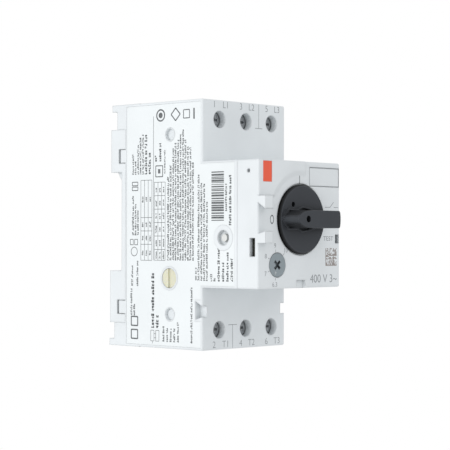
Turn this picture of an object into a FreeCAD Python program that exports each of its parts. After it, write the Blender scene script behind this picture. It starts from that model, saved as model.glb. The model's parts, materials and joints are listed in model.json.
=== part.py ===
import FreeCAD, Part
import math
import os

# Three-pole motor protection breaker, millimetres.
# The origin is the centre of the rail seat. The front faces -Y, +Z is up, +X is right seen from the front.

# Housing
body_width = 45.0
wall = 1.6
tier_front = -42.0
tier_top = 43.6
tier_bottom = -46.4
block_top = 21.1
block_bottom = -23.9
cover_split = -58.9
block_front = -68.5
edge_round = 0.7
pad_low = 8.5

# Rail base
base_split = -2.35
base_top = 34.4
base_bottom = -37.8
base_floor = -0.3
rear_top = 2.1
rear_bottom = 3.6
top_foot_rear = 5.4
bottom_foot_rear = 5.9
rail_slot_half = 18.4
seat_half_height = 14.0
hook_reach = 2.5
rail_lip_gap = 1.3
latch_travel = 3.0

# Poles and terminals
pole_pitch = 14.15
middle_pole = 0.65
divider_thick = 1.2
line_z = 36.5
load_z = -39.2
driver_hole_r = 3.1
head_pocket_r = 3.5
head_pocket_front = -39.2
screw_head_r = 3.25
screw_head_front = -39.0
screw_head_rear = -36.2
shelf_rear = -35.0
screw_shank_r = 2.0
screw_end = -29.0
busbar_front = -28.6
busbar_rear = -27.1
cage_front = -31.0
cage_rear = -21.1
cage_wall = 1.5
cage_half_width = 5.3
cage_half_height = 4.0
entry_half_width = 4.6
entry_front = -29.6
entry_rear = -20.8

# Contacts
contact_z = 14.75
contact_spread = 4.45
fixed_arm_front = -17.5
bridge_front = -22.3
bridge_thick = 1.2
pad_thick = 0.8
contact_travel = 2.0

# Left side
dimple_y = -25.7
dimple_zs = (31.4, -33.9)
plug_y = -25.4
plug_z = -20.8
plug_r = 3.5

# Releases
coil_z = -8.6
coil_r = 5.1
coil_front = -26.0
coil_length = 13.0
plunger_r = 2.9
bimetal_z = -18.6
strip_half = 2.0
slider_half = 1.7
trip_shaft_y = -52.2
trip_shaft_z = -6.1
trip_shaft_r = 1.3

# Rotary handle
knob_x = 0.3
knob_z = 0.45
knob_r = 12.3
knob_front = -69.75
knob_rear = -68.1
dish_r = 12.75
dish_floor = -67.9
handle_front = -77.4
handle_half_width = 3.1
handle_end_r = 11.9
handle_corner_r = 0.8
pin_hole_x = -5.8
pin_hole_r = 1.2
bar_nose_centre = -4.5
bar_nose_length = 6.8
cap_thick = 0.6
tab_half_width = 1.6
tab_gap = 0.08
tab_front = -75.3
tab_rear = -70.8
lip_height = 0.5
lip_inner = 0.88
lip_floor = 0.3
hub_r = 5.0
shaft_r = 4.0
drum_r = 4.6
cam_y = -50.0
cam_radius = 3.2
cam_turn = 45.0

nose_front = handle_front + cap_thick
nose_reach = 3.4

# Current setting dial
dial_x = -12.2
dial_z = -15.6
dial_r = 4.2
dial_gap = 0.18
cross_half_length = 1.95
cross_half_width = 0.55

# Running clearances
shaft_gap = 0.06

half_width = body_width / 2
poles = [middle_pole + (i - 1) * pole_pitch for i in range(3)]
dividers = [middle_pole + (i - 0.5) * pole_pitch for i in range(2)]
sides = (-1, 1)


def block(x0, x1, y0, y1, z0, z1):
    """Box between two corners, given as three ranges."""
    return Part.makeBox(x1 - x0, y1 - y0, z1 - z0, FreeCAD.Vector(x0, y0, z0))


def rod(axis, centre, radius, start, end):
    """Cylinder along X, Y or Z. centre holds the other two coordinates in X, Y, Z order."""
    place = list(centre)
    index = "XYZ".index(axis)
    place.insert(index, start)
    direction = [0, 0, 0]
    direction[index] = 1
    return Part.makeCylinder(radius, end - start, FreeCAD.Vector(*place), FreeCAD.Vector(*direction))


def prism(axis, outline, start, end):
    """Solid with a polygon outline in the plane across axis, running from start to end along it."""
    index = "XYZ".index(axis)
    points = []
    for pair in outline:
        point = list(pair)
        point.insert(index, start)
        points.append(FreeCAD.Vector(*point))
    direction = [0, 0, 0]
    direction[index] = end - start
    face = Part.Face(Part.makePolygon(points + points[:1]))
    return face.extrude(FreeCAD.Vector(*direction))


def coil_spring(axis, centre, radius, wire_r, start, end, turns):
    """Open helical spring along Y or Z between two planes."""
    height = end - start - 2 * wire_r
    path = Part.makeLongHelix(height / turns, height, radius)
    section = Part.Wire([Part.makeCircle(wire_r, FreeCAD.Vector(radius, 0, 0), FreeCAD.Vector(0, 1, 0))])
    spring = Part.Wire(path).makePipeShell([section], True, True)
    spring.translate(FreeCAD.Vector(0, 0, start + wire_r))
    if axis == "Y":
        spring.rotate(FreeCAD.Vector(0, 0, 0), FreeCAD.Vector(1, 0, 0), -90)
        spring.translate(FreeCAD.Vector(centre[0], 0, centre[1]))
    else:
        spring.translate(FreeCAD.Vector(centre[0], centre[1], 0))
    return spring


def rounded_block(x0, x1, y0, y1, z0, z1, radius):
    """Box whose front face edges and front-to-back corner edges are rounded."""
    box = block(x0, x1, y0, y1, z0, z1)
    chosen = []
    for edge in box.Edges:
        middle = edge.CenterOfMass
        on_front = abs(middle.y - y0) < 1e-6
        corner_edge = abs(middle.y - (y0 + y1) / 2) < 1e-6
        if on_front or corner_edge:
            chosen.append(edge)
    return box.makeFillet(radius, chosen)


def join(first, others):
    return first.fuse(others).removeSplitter()


def save(name, shapes):
    """Write one node. shapes is one solid or a list of separate solids."""
    if not isinstance(shapes, list):
        shapes = [shapes]
    for shape in shapes:
        if not shape.isValid() or len(shape.Solids) != 1:
            print("check", name, shape.isValid(), len(shape.Solids))
    whole = shapes[0] if len(shapes) == 1 else Part.makeCompound(shapes)
    whole.exportStep(f"parts/{name}.step")


def terminal_rows():
    """X, Z and the outward direction of each of the six terminals, line row first."""
    return [(x, line_z, 1) for x in poles] + [(x, load_z, -1) for x in poles]


def main_housing():
    tier = rounded_block(-half_width, half_width, tier_front, base_split, tier_bottom, tier_top, edge_round)
    middle = rounded_block(-half_width, half_width, cover_split, -10, block_bottom, block_top, 0.4)
    top_heel = block(-half_width, half_width, -10, rear_top, base_top, tier_top)
    bottom_heel = block(-half_width, half_width, -10, rear_bottom, tier_bottom, base_bottom)
    shell = join(tier, [middle, top_heel, bottom_heel])
    inner_x = half_width - wall
    hollow = [
        block(-inner_x, inner_x, tier_front + wall, 0, tier_bottom + wall, tier_top - wall),
        block(-inner_x, inner_x, cover_split - 1, -10, block_bottom + wall, block_top - wall),
    ]
    shell = shell.cut(hollow)
    closing = [
        block(-half_width, half_width, base_split - wall, rear_top, base_top, base_top + wall),
        block(-half_width, half_width, base_split - wall, rear_bottom, base_bottom - wall, base_bottom),
        block(-inner_x, inner_x, rear_top - wall, rear_top, base_top, tier_top - wall),
        block(-inner_x, inner_x, rear_bottom - wall - 2, rear_bottom, tier_bottom + wall, base_bottom),
    ]
    shell = join(shell, closing)
    shell = join(shell, divider_walls() + terminal_guides() + side_details())
    shell = shell.cut(terminal_openings() + side_openings())
    return join(shell, snap_tabs() + corner_claws())


def divider_walls():
    """Walls between the poles, with guides for the contact carrier and the trip slider in front."""
    walls = []
    for x in dividers:
        left = x - divider_thick / 2
        right = x + divider_thick / 2
        wall_plate = block(left, right, tier_front + wall, base_split, tier_bottom + wall, tier_top - wall)
        carrier_guide = block(left, right, -47.5, tier_front + wall, 10.0, block_top - wall)
        carrier_guide = carrier_guide.cut(block(left - 1, right + 1, -46.3, -40.6, 11.7, 18.3))
        slider_guide = block(left, right, -47.0, tier_front + wall, block_bottom + wall, -14.0)
        slot_low = bimetal_z - slider_half - 0.2
        slot_high = bimetal_z + slider_half + 0.2
        slider_guide = slider_guide.cut(block(left - 1, right + 1, -45.7, -42.3, slot_low, slot_high))
        walls.append(wall_plate.fuse([carrier_guide, slider_guide]))
    return walls


def terminal_guides():
    """A tube that guides the screwdriver, and the shelf that the screw head turns on."""
    guides = []
    for x, z, _ in terminal_rows():
        tube = rod("Y", (x, z), head_pocket_r + 1.0, tier_front + wall, shelf_rear)
        shelf = block(x - 6.6, x + 6.6, screw_head_rear, shelf_rear, z - 5.5, z + 5.5)
        guides.append(tube.fuse(shelf))
    return guides


def terminal_openings():
    """For each terminal: driver hole, head pocket, shank hole and the wire entry in the end wall."""
    cuts = []
    for x, z, outward in terminal_rows():
        cuts.append(rod("Y", (x, z), driver_hole_r, tier_front - 1, screw_head_rear))
        cuts.append(rod("Y", (x, z), head_pocket_r, head_pocket_front, screw_head_rear))
        cuts.append(rod("Y", (x, z), screw_shank_r + 0.15, screw_head_rear - 1, shelf_rear + 1))
        edge = tier_top if outward > 0 else tier_bottom
        inside = edge - outward * (wall + 0.5)
        outside = edge + outward
        low = min(inside, outside)
        high = max(inside, outside)
        cuts.append(block(x - entry_half_width, x + entry_half_width, entry_front, entry_rear, low, high))
    return cuts


def side_details():
    """Thicker stretches inside the side walls: clip corners, trip shaft bearings and nut guides."""
    inner = half_width - wall
    pieces = []
    for side in sides:
        near = min(side * inner, side * (inner - 2.2))
        pieces.append(block(near, near + 2.2, tier_front + wall, -37.2, -37.0, -27.0))
        bearing = min(side * inner, side * (inner - 2.0))
        pieces.append(rod("X", (trip_shaft_y, trip_shaft_z), 4.0, bearing, bearing + 2.0))
    for left in (-14.2, -11.0):
        pieces.append(block(left, left + 0.8, -58.5, -53.0, block_bottom + wall, -19.0))
    return pieces


def side_openings():
    inner = half_width - wall
    cuts = []
    notch = [(-42.1, -30.6), (-38.74, -28.75), (-38.74, -35.3), (-42.1, -34.3)]
    for side in sides:
        start = min(side * (inner - 0.95), side * (half_width + 1))
        cuts.append(prism("X", notch, start, start + 3.55))
        bore_start = min(side * (inner - 3), side * (inner + 0.2))
        bore_r = trip_shaft_r + shaft_gap
        cuts.append(rod("X", (trip_shaft_y, trip_shaft_z), bore_r, bore_start, bore_start + 3.2))
        for z in dimple_zs:
            outside = min(side * (half_width - 1.2), side * (half_width + 1))
            cuts.append(rod("X", (dimple_y, z), 2.2, outside, outside + 2.2))
    cuts.append(rod("X", (trip_shaft_y, trip_shaft_z), 2.7, -half_width - 1, -inner))
    cuts.append(rod("X", (plug_y, plug_z), plug_r + 0.1, -half_width - 1, -inner + 1))
    cuts.append(label_film(half_width + 1, half_width - 0.15, 0.05))
    return cuts


def label_film(outer, inner, grow):
    """The thin side label's solid, from X -outer to X -inner, its outline grown by grow."""
    outline = [
        (-3.0 + grow, -45.4 - grow),
        (-41.2 - grow, -45.4 - grow),
        (-41.2 - grow, -23.2 - grow),
        (-57.5 - grow, -23.2 - grow),
        (-57.5 - grow, 20.4 + grow),
        (-41.2 - grow, 20.4 + grow),
        (-41.2 - grow, 42.6 + grow),
        (-3.0 + grow, 42.6 + grow),
    ]
    film = prism("X", outline, -outer, -inner)
    holes = [
        rod("X", (dimple_y, dimple_zs[0]), 2.6 - grow, -outer - 1, -inner + 1),
        rod("X", (dimple_y, dimple_zs[1]), 2.6 - grow, -outer - 1, -inner + 1),
        rod("X", (plug_y, plug_z), plug_r + 0.9 - grow, -outer - 1, -inner + 1),
        rod("X", (trip_shaft_y, trip_shaft_z), 4.6 - grow, -outer - 1, -inner + 1),
        block(-outer - 1, -inner + 1, -42.3 + grow, -38.2 - grow, -36.0 + grow, -28.2 - grow),
    ]
    return film.cut(holes)


def snap_tabs():
    """Tabs of the main housing that reach back into the windows of the rail base."""
    tabs = []
    for side in sides:
        start = min(side * half_width, side * (half_width - 1.2))
        tabs.append(block(start, start + 1.2, base_split - 0.5, 0.3, 21.9, 26.8))
        tabs.append(block(start, start + 1.2, base_split - 0.5, 1.1, -34.35, -29.5))
    return tabs


def corner_claws():
    claws = []
    for side in sides:
        start = min(side * half_width, side * (half_width - 2.6))
        claws.append(block(start, start + 2.6, rear_top - 1, 4.8, tier_top - 2.5, tier_top))
        claws.append(block(start, start + 2.6, rear_bottom - 1, 6.2, tier_bottom, tier_bottom + 2.5))
    return claws


def base_housing():
    plate = block(-half_width, half_width, base_split, base_floor, base_bottom, base_top)
    seat = block(-20.0, 20.0, base_floor - 0.5, 0, -seat_half_height, seat_half_height)
    top_foot = block(-half_width, half_width, base_split, top_foot_rear, rail_slot_half, base_top)
    bottom_foot = block(-half_width, half_width, base_split, bottom_foot_rear, base_bottom, -rail_slot_half)
    body = join(plate, [seat, top_foot, bottom_foot])
    hooks = []
    for x in (-17.5, 0.0, 17.5):
        outline = [
            (rail_lip_gap, rail_slot_half),
            (rail_lip_gap, rail_slot_half - hook_reach),
            (rail_lip_gap + 0.9, rail_slot_half - hook_reach),
            (rail_lip_gap + 2.4, rail_slot_half),
        ]
        hooks.append(prism("X", outline, x - 3.0, x + 3.0))
    body = join(body, hooks)
    cuts = foot_pockets()
    for side in sides:
        start = min(side * (half_width - 1.4), side * (half_width + 1))
        cuts.append(block(start, start + 2.4, base_split - 1, 1.3, 21.7, 27.0))
        cuts.append(block(start, start + 2.4, base_split - 1, 2.1, -34.55, -29.3))
    cuts.append(block(-6.3, 6.3, 3.5, bottom_foot_rear + 1, base_bottom - 1, -rail_slot_half + 1))
    cuts.append(block(-6.3, 6.3, 1.0, bottom_foot_rear + 1, -25.6, -rail_slot_half + 1))
    cuts.append(block(-1.7, 1.7, 0.8, 4.0, -34.2, -22.0))
    body = body.cut(cuts)
    keepers = []
    for side in sides:
        start = min(side * 6.3, side * 4.9)
        keepers.append(block(start - 0.2, start + 1.6, 5.35, bottom_foot_rear, -35.5, -27.5))
    return join(body, keepers)


def foot_pockets():
    """Square pockets that lighten both feet, open to the rear."""
    pockets = []
    for x in (-20.6, -14.2, 7.8, 14.2):
        pockets.append(block(x, x + 5.0, 0.9, bottom_foot_rear + 1, -36.2, -27.5))
        pockets.append(block(x, x + 5.0, 0.9, bottom_foot_rear + 1, -26.3, -20.0))
    for x in (-20.6, -13.7, -6.8, 1.8, 8.7, 15.6):
        pockets.append(block(x, x + 5.0, 0.9, top_foot_rear + 1, 22.2, 32.8))
    return pockets


def rail_latch():
    strap = block(-6.0, 6.0, 3.8, 5.2, -45.6, -rail_slot_half)
    tip_root = -25.0 + latch_travel
    tip_outline = [(1.3, tip_root), (1.3, -16.3), (2.1, -16.3), (4.6, -18.0), (4.6, tip_root)]
    tip = prism("X", tip_outline, -6.0, 6.0)
    latch = join(strap, [tip])
    screwdriver_slot = block(-2.5, 2.5, 3.0, 6.0, -44.2, -42.8)
    return latch.cut(screwdriver_slot)


def front_cover():
    shell = rounded_block(
        -half_width, half_width, block_front, cover_split, block_bottom, block_top, edge_round)
    inner_x = half_width - wall
    inner_low = block_bottom + wall
    inner_high = block_top - wall
    shell = shell.cut(block(-inner_x, inner_x, block_front + wall, cover_split + 1, inner_low, inner_high))
    pad = rounded_block(-half_width, 2.7, block_front - 0.5, block_front + 1, pad_low, block_top, 0.3)
    axis_base = FreeCAD.Vector(knob_x, block_front - 0.5, knob_z)
    dish = Part.makeCone(17.4, 15.5, 0.5, axis_base, FreeCAD.Vector(0, 1, 0))
    pad = pad.cut(dish)
    boss = rod("Y", (knob_x, knob_z), 7.0, block_front + wall, -65.2)
    floor_ring = rod("Y", (knob_x, knob_z), dish_r + 0.8, block_front + wall - 0.3, -66.2)
    dial_boss = rod("Y", (dial_x, dial_z), dial_r + 1.3, block_front + wall - 0.3, -65.6)
    test_wall = block(19.0, inner_x, block_front + wall - 0.3, -64.2, -9.2, -3.6)
    aux_guide = block(-18.3, -17.5, block_front + wall, -60.5, -14.0, -4.5)
    shell = join(shell, [pad, boss, floor_ring, dial_boss, test_wall, aux_guide] + handle_ears())
    cuts = [
        rod("Y", (knob_x, knob_z), dish_r, block_front - 2, dish_floor),
        rod("Y", (knob_x, knob_z), hub_r + shaft_gap, block_front - 2, cover_split),
        rod("Y", (dial_x, dial_z), dial_r + dial_gap, block_front - 2, -65.0),
        block(19.86, 21.95, block_front - 1, -62.0, -8.05, -4.85),
        block(17.3, inner_x, -65.0, -63.0, -8.05, -2.2),
        block(-1.9, 2.9, block_front - 1, block_front + 1.2, block_bottom - 1, -21.1),
        rod("X", (-64.2, 17.2), 0.7, -half_width - 1, -half_width + 1.2),
        block(-half_width - 1, -inner_x + 0.1, -67.2, -64.7, -12.6, -6.2),
        block(5.2, 22.0, block_front - 1, block_front + 0.4, 12.3, 19.2),
        block(-20.3, -15.65, block_front - 2, block_front - 0.35, 13.35, 20.65),
    ]
    return shell.cut(cuts)


def handle_ears():
    """Two small ears at the left edge that mark the off position of the handle."""
    upper = prism("X", [(block_front + 1, pad_low), (block_front - 3.5, pad_low), (block_front - 3.5, 3.9),
                        (block_front, 6.1), (block_front + 1, 6.1)], -half_width, -18.4)
    lower = prism("X", [(block_front + 1, -8.0), (block_front - 3.5, -8.0), (block_front - 3.5, -3.8),
                        (block_front, -4.7), (block_front + 1, -4.7)], -half_width, -18.4)
    return [upper, lower]


def bearing_plate():
    """Plate behind the front cover that carries the handle shaft and the dial spindle."""
    plate = block(-20.6, 20.6, -60.4, cover_split, -22.0, 19.2)
    holes = [
        rod("Y", (knob_x, knob_z), shaft_r + shaft_gap, -62, -57),
        rod("Y", (dial_x, dial_z), 1.6 + shaft_gap, -62, -57),
        block(17.3, 19.0, -62, -57, -4.7, -2.2),
    ]
    return plate.cut(holes)


def handle_outline(scale):
    """Arrow-shaped foot of the handle on the disc, as corner points round the knob axis."""
    half = [(-11.9, 0.0), (-9.0, 3.55), (-3.2, 3.55), (-1.2, 4.5), (0.6, 4.5), (3.0, 4.05), (6.5, 3.2)]
    lower = [(x, -z) for x, z in reversed(half[1:])]
    return [(knob_x + x * scale, knob_z + z * scale) for x, z in half + lower]


def bar_nose(front, rear):
    """Elliptical left end of the handle, between two depths."""
    ellipse = Part.Ellipse(FreeCAD.Vector(0, 0, 0), bar_nose_length, handle_half_width)
    face = Part.Face(Part.Wire([ellipse.toShape()]))
    nose = face.extrude(FreeCAD.Vector(0, 0, rear - front))
    nose.rotate(FreeCAD.Vector(0, 0, 0), FreeCAD.Vector(1, 0, 0), -90)
    nose.translate(FreeCAD.Vector(knob_x + bar_nose_centre, front, knob_z))
    return nose


def handle_bar():
    """Bar of the handle: a long elliptical nose at the left, an end on the disc's round at the right."""
    rear = knob_front + 0.4
    low = knob_z - handle_half_width
    high = knob_z + handle_half_width
    straight = block(knob_x + bar_nose_centre, knob_x + 13, handle_front, rear, low, high)
    straight = straight.common(rod("Y", (knob_x, knob_z), handle_end_r, handle_front - 1, knob_rear))
    end_edges = []
    for edge in straight.Edges:
        upright = abs(edge.CenterOfMass.y - (handle_front + rear) / 2) < 0.01
        if upright and edge.CenterOfMass.x > knob_x:
            end_edges.append(edge)
    straight = straight.makeFillet(handle_corner_r, end_edges)
    bar = join(bar_nose(handle_front, rear), [straight])
    front_edges = [edge for edge in bar.Edges if abs(edge.CenterOfMass.y - handle_front) < 0.01]
    return bar.makeFillet(0.4, front_edges)


def rotary_knob():
    disc = rod("Y", (knob_x, knob_z), knob_r, knob_front, knob_rear)
    front_edge = [edge for edge in disc.Edges if abs(edge.CenterOfMass.y - knob_front) < 1e-6]
    disc = disc.makeChamfer(0.6, front_edge)
    hub = rod("Y", (knob_x, knob_z), hub_r, knob_rear - 0.5, -66.0)
    lip = prism("Y", handle_outline(1.0), knob_front - lip_height, knob_front + 0.4)
    disc = join(disc, [hub, lip])
    disc = disc.cut(prism("Y", handle_outline(lip_inner), knob_front - 1, knob_front + lip_floor))
    knob = join(disc, [handle_bar()])
    slot_rear = tab_rear + tab_gap
    low = knob_z - tab_half_width - tab_gap
    high = knob_z + tab_half_width + tab_gap
    left = knob_x - 14
    nose_right = knob_x + bar_nose_centre - nose_reach
    cuts = [
        block(left, nose_right + tab_gap, nose_front - tab_gap, slot_rear, low, high),
        block(left, knob_x - 1.9, tab_front - tab_gap, slot_rear, low, high),
        rod("Y", (pin_hole_x, knob_z), pin_hole_r, handle_front - 1, tab_front - tab_gap - 0.1),
        rod("Y", (knob_x - 5.4, knob_z + 5.2), 0.95, knob_front - 1, knob_rear - 0.4),
    ]
    return knob.cut(cuts)


def handle_lock_tab():
    """Pull-out tab in the end of the handle: drawn out, it takes a padlock."""
    left = knob_x - 14
    low = knob_z - tab_half_width
    high = knob_z + tab_half_width
    nose_right = knob_x + bar_nose_centre - nose_reach
    nose = block(left, nose_right, nose_front, tab_rear, low, high)
    nose = nose.common(bar_nose(nose_front, tab_rear))
    slab = block(nose_right - 1, knob_x - 2.6, tab_front, tab_rear, low, high)
    shackle_hole = rod("Z", (knob_x - 5.6, -73.1), 1.3, low - 1, high + 1)
    return join(nose, [slab]).cut(shackle_hole)


def knob_shaft():
    """Shaft behind the knob, with a drum whose slanted rear end is the cam of the contact carrier."""
    neck = rod("Y", (knob_x, knob_z), shaft_r, -66.0, cover_split + 0.1)
    drum = rod("Y", (knob_x, knob_z), drum_r, cover_split + 0.1, -45)
    slant = math.degrees(math.atan(contact_travel / math.sqrt(2) / cam_radius))
    cutter = block(-20, 20, 0, 20, -20, 20)
    cutter.rotate(FreeCAD.Vector(0, 0, 0), FreeCAD.Vector(1, 0, 0), slant)
    cutter.rotate(FreeCAD.Vector(0, 0, 0), FreeCAD.Vector(0, 1, 0), cam_turn)
    cutter.translate(FreeCAD.Vector(knob_x, cam_y, knob_z))
    return join(neck, [drum]).cut(cutter)


def contact_carrier():
    """Moulded bar across the poles, with a leg to each bridge and a follower on the cam."""
    bar = block(-18.6, 19.9, -46.0, -43.0, 12.0, 18.0)
    arm = block(knob_x - 1.8, knob_x + 1.8, -46.0, -43.0, 2.4, 12.0)
    follower_z = knob_z + cam_radius
    pin_front = cam_y + 0.15
    pin = rod("Y", (knob_x, follower_z), 0.8, pin_front, -45.5)
    tip = Part.makeSphere(0.8, FreeCAD.Vector(knob_x, pin_front, follower_z))
    legs = []
    bridge_rear = bridge_front + bridge_thick
    for x in poles:
        leg = block(x - 3.4, x + 3.4, -43.5, bridge_rear + 1.2, 12.0, 17.5)
        leg = leg.cut(block(x - 2.6, x + 2.6, -28.5, bridge_rear, 11.0, 18.5))
        legs.append(leg)
    return join(bar, [arm, pin, tip] + legs)


def contact_bridges():
    bridges = []
    for x in poles:
        rear = bridge_front + bridge_thick
        bridges.append(block(x - 2.5, x + 2.5, bridge_front, rear, contact_z - 6.2, contact_z + 6.2))
    return bridges


def bridge_pads():
    pads = []
    start = bridge_front + bridge_thick
    for x in poles:
        for side in sides:
            z = contact_z + side * contact_spread
            pads.append(block(x - 1.8, x + 1.8, start, start + pad_thick, z - 1.4, z + 1.4))
    return pads


def fixed_pads():
    pads = []
    for x in poles:
        for side in sides:
            z = contact_z + side * contact_spread
            front = fixed_arm_front - pad_thick
            pads.append(block(x - 1.8, x + 1.8, front, fixed_arm_front, z - 1.4, z + 1.4))
    return pads


def contact_springs():
    return [coil_spring("Y", (x, contact_z), 1.6, 0.25, -28.5, bridge_front, 5) for x in poles]


def carrier_spring():
    return coil_spring("Y", (knob_x, 6.0), 1.5, 0.3, -43.0, -38.0, 4)


def spring_post():
    """Small bracket across the middle pole that the carrier spring bears on."""
    half_wall = divider_thick / 2
    return block(dividers[0] + half_wall, dividers[1] - half_wall, -38.0, -36.8, 3.0, 9.0)


def line_conductors():
    """From each line terminal down and back to the upper fixed contact."""
    pieces = []
    for x in poles:
        tongue = block(x - 4.0, x + 4.0, busbar_front, busbar_rear, 22.6, 41.0)
        step = block(x - 3.0, x + 3.0, busbar_rear - 0.5, fixed_arm_front + 1.5, 22.6, 24.1)
        arm = block(x - 3.0, x + 3.0, fixed_arm_front, fixed_arm_front + 1.5, 18.0, 24.1)
        pieces.append(join(tongue, [step, arm]))
    return pieces


def load_contacts():
    """From each lower fixed contact down to the magnet coil."""
    pieces = []
    for x in poles:
        arm = block(x - 3.0, x + 3.0, fixed_arm_front, fixed_arm_front + 1.5, 0.2, 11.6)
        foot = block(x - 3.0, x + 3.0, fixed_arm_front, -11.0, -0.9, 0.6)
        pieces.append(join(arm, [foot]))
    return pieces


def load_conductors():
    """From each bimetal's foot down to the load terminal."""
    pieces = []
    for x in poles:
        foot = block(x - 2.0, x + 2.0, -12.0, -10.5, -31.0, bimetal_z + strip_half)
        step = block(x - 2.0, x + 2.0, busbar_rear - 0.5, -10.5, -32.5, -31.0)
        tongue = block(x - 4.0, x + 4.0, busbar_front, busbar_rear, -43.6, -31.0)
        pieces.append(join(foot, [step, tongue]))
    return pieces


def arc_plates():
    plates = []
    for x in poles:
        for step in range(9):
            z = 3.5 + step * 2.4
            plate = block(x - 5.6, x + 5.6, -14.0, -4.6, z, z + 1.0)
            notch = prism("Z", [(x - 2.4, -14.1), (x + 2.4, -14.1), (x, -9.0)], z - 1, z + 2)
            plates.append(plate.cut(notch))
    return plates


def magnet_coils():
    """Wound copper coil, as one turned body with a groove between neighbouring turns."""
    coils = []
    turns = 7
    turn = coil_length / turns
    for x in poles:
        rings = []
        for i in range(turns):
            y = coil_front + (i + 0.5) * turn
            centre = FreeCAD.Vector(x, y, coil_z)
            rings.append(Part.makeTorus(coil_r - turn / 2, turn / 2 + 0.03, centre, FreeCAD.Vector(0, 1, 0)))
        sleeve = rod("Y", (x, coil_z), coil_r - turn / 2, coil_front + 0.3, coil_front + coil_length - 0.3)
        body = join(sleeve, rings)
        bore = rod("Y", (x, coil_z), plunger_r + 0.55, coil_front - 2, coil_front + coil_length + 2)
        coils.append(body.cut(bore))
    return coils


def coil_bobbins():
    bobbins = []
    for x in poles:
        tube = rod("Y", (x, coil_z), plunger_r + 0.5, coil_front - 0.2, coil_front + coil_length + 0.2)
        bore = rod("Y", (x, coil_z), plunger_r + shaft_gap, coil_front - 1, coil_front + coil_length + 2)
        bobbins.append(tube.cut(bore))
    return bobbins


def magnet_yokes():
    yokes = []
    front = coil_front - 1.6
    rear = coil_front + coil_length + 0.4
    for x in poles:
        lower = block(x - 4.0, x + 4.0, front, rear + 1.2, coil_z - coil_r - 1.5, coil_z - coil_r - 0.3)
        front_plate = block(x - 4.0, x + 4.0, front, front + 1.2, coil_z - coil_r - 0.3, coil_z + 4.4)
        front_plate = front_plate.cut(rod("Y", (x, coil_z), 1.1, front - 1, front + 2))
        rear_plate = block(x - 4.0, x + 4.0, rear, rear + 1.2, coil_z - coil_r - 0.3, coil_z + 4.4)
        yokes.append(join(lower, [front_plate, rear_plate]))
    return yokes


def magnet_plunger(x):
    slug = rod("Y", (x, coil_z), plunger_r, coil_front + 1.6, coil_front + coil_length - 4.0)
    push_rod = rod("Y", (x, coil_z), 0.8, -50.0, coil_front + 1.6)
    return join(slug, [push_rod])


def plunger_spring(x):
    return coil_spring("Y", (x, coil_z), 1.7, 0.25, coil_front - 0.3, coil_front + 1.6, 3)


def bimetal_strips():
    low = bimetal_z - strip_half
    high = bimetal_z + strip_half
    return [block(x - 0.45, x + 0.45, -44.6, -12.0, low, high) for x in poles]


def heater_windings():
    """Flat heater wire wound round each strip, as separate closed turns."""
    turns = []
    for x in poles:
        for step in range(8):
            y = -37.0 + step * 2.6
            turn = block(x - 1.7, x + 1.7, y, y + 1.3, bimetal_z - 2.7, bimetal_z + 2.7)
            turns.append(turn.cut(block(x - 0.9, x + 0.9, y - 1, y + 2, bimetal_z - 2.3, bimetal_z + 2.3)))
    return turns


def trip_slider():
    low = bimetal_z - slider_half
    high = bimetal_z + slider_half
    bar = block(-18.8, 18.6, -45.5, -42.5, low, high)
    frames = [block(x - 3.2, x + 2.2, -45.5, -42.5, low - 1.5, high + 1.5) for x in poles]
    bar = join(bar, frames)
    slots = [block(x - 1.8, x + 0.65, -46, -42, bimetal_z - 2.3, bimetal_z + 2.3) for x in poles]
    return bar.cut(slots)


def trip_shaft():
    """Shaft across the breaker: each magnet and the test lever turn it to release the contacts."""
    shaft = rod("X", (trip_shaft_y, trip_shaft_z), trip_shaft_r, -21.9, 20.8)
    front = trip_shaft_y - 0.8
    fingers = [block(x - 1.5, x + 1.5, front, front + 1.6, -12.0, trip_shaft_z) for x in poles]
    test_finger = block(17.2, 18.7, trip_shaft_y - 0.7, trip_shaft_y + 0.7, trip_shaft_z, -2.4)
    return join(shaft, fingers + [test_finger])


def test_lever():
    tip = block(20.1, 21.7, -67.3, -63.3, -7.8, -5.1)
    shoulder = block(17.6, 20.7, -64.6, -63.3, -7.8, -2.5)
    rear_rod = block(17.6, 18.7, -64.6, -53.3, -3.7, -2.5)
    return join(tip, [shoulder, rear_rod])


def mechanism_frame():
    """Bent steel frame round the cam drum."""
    left = block(-9.5, -8.5, -58.4, -48.5, -4.2, 9.0)
    right = block(9.1, 10.1, -58.4, -48.5, -4.2, 9.0)
    bridge = block(-9.5, 10.1, -58.4, -48.5, 9.0, 10.0)
    return join(left, [right, bridge])


def setting_dial():
    head = rod("Y", (dial_x, dial_z), dial_r, block_front, -65.6)
    spindle = rod("Y", (dial_x, dial_z), 1.6, -65.8, -54.5)
    dial = join(head, [spindle])
    rear = block_front + 1.1
    front = block_front - 1
    long = cross_half_length
    thin = cross_half_width
    cross = [
        block(dial_x - long, dial_x + long, front, rear, dial_z - thin, dial_z + thin),
        block(dial_x - thin, dial_x + thin, front, rear, dial_z - long, dial_z + long),
    ]
    for piece in cross:
        piece.rotate(FreeCAD.Vector(dial_x, 0, dial_z), FreeCAD.Vector(0, 1, 0), 45)
    return dial.cut(cross)


def adjusting_nut():
    """Nut on the dial spindle: its place sets the current at which the slider trips."""
    nut = block(dial_x - 3.0, dial_x + 3.0, -58.2, -55.2, dial_z - 2.6, dial_z + 2.6)
    tongue = block(-13.2, -11.2, -58.2, -55.2, -21.0, dial_z - 2.6)
    return join(nut, [tongue]).cut(rod("Y", (dial_x, dial_z), 1.6 + shaft_gap, -60, -50))


def aux_drive():
    """Slide behind the side slot that works an add-on auxiliary contact."""
    return block(-20.7, -18.6, -66.7, -61.0, -13.6, -5.9)


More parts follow.
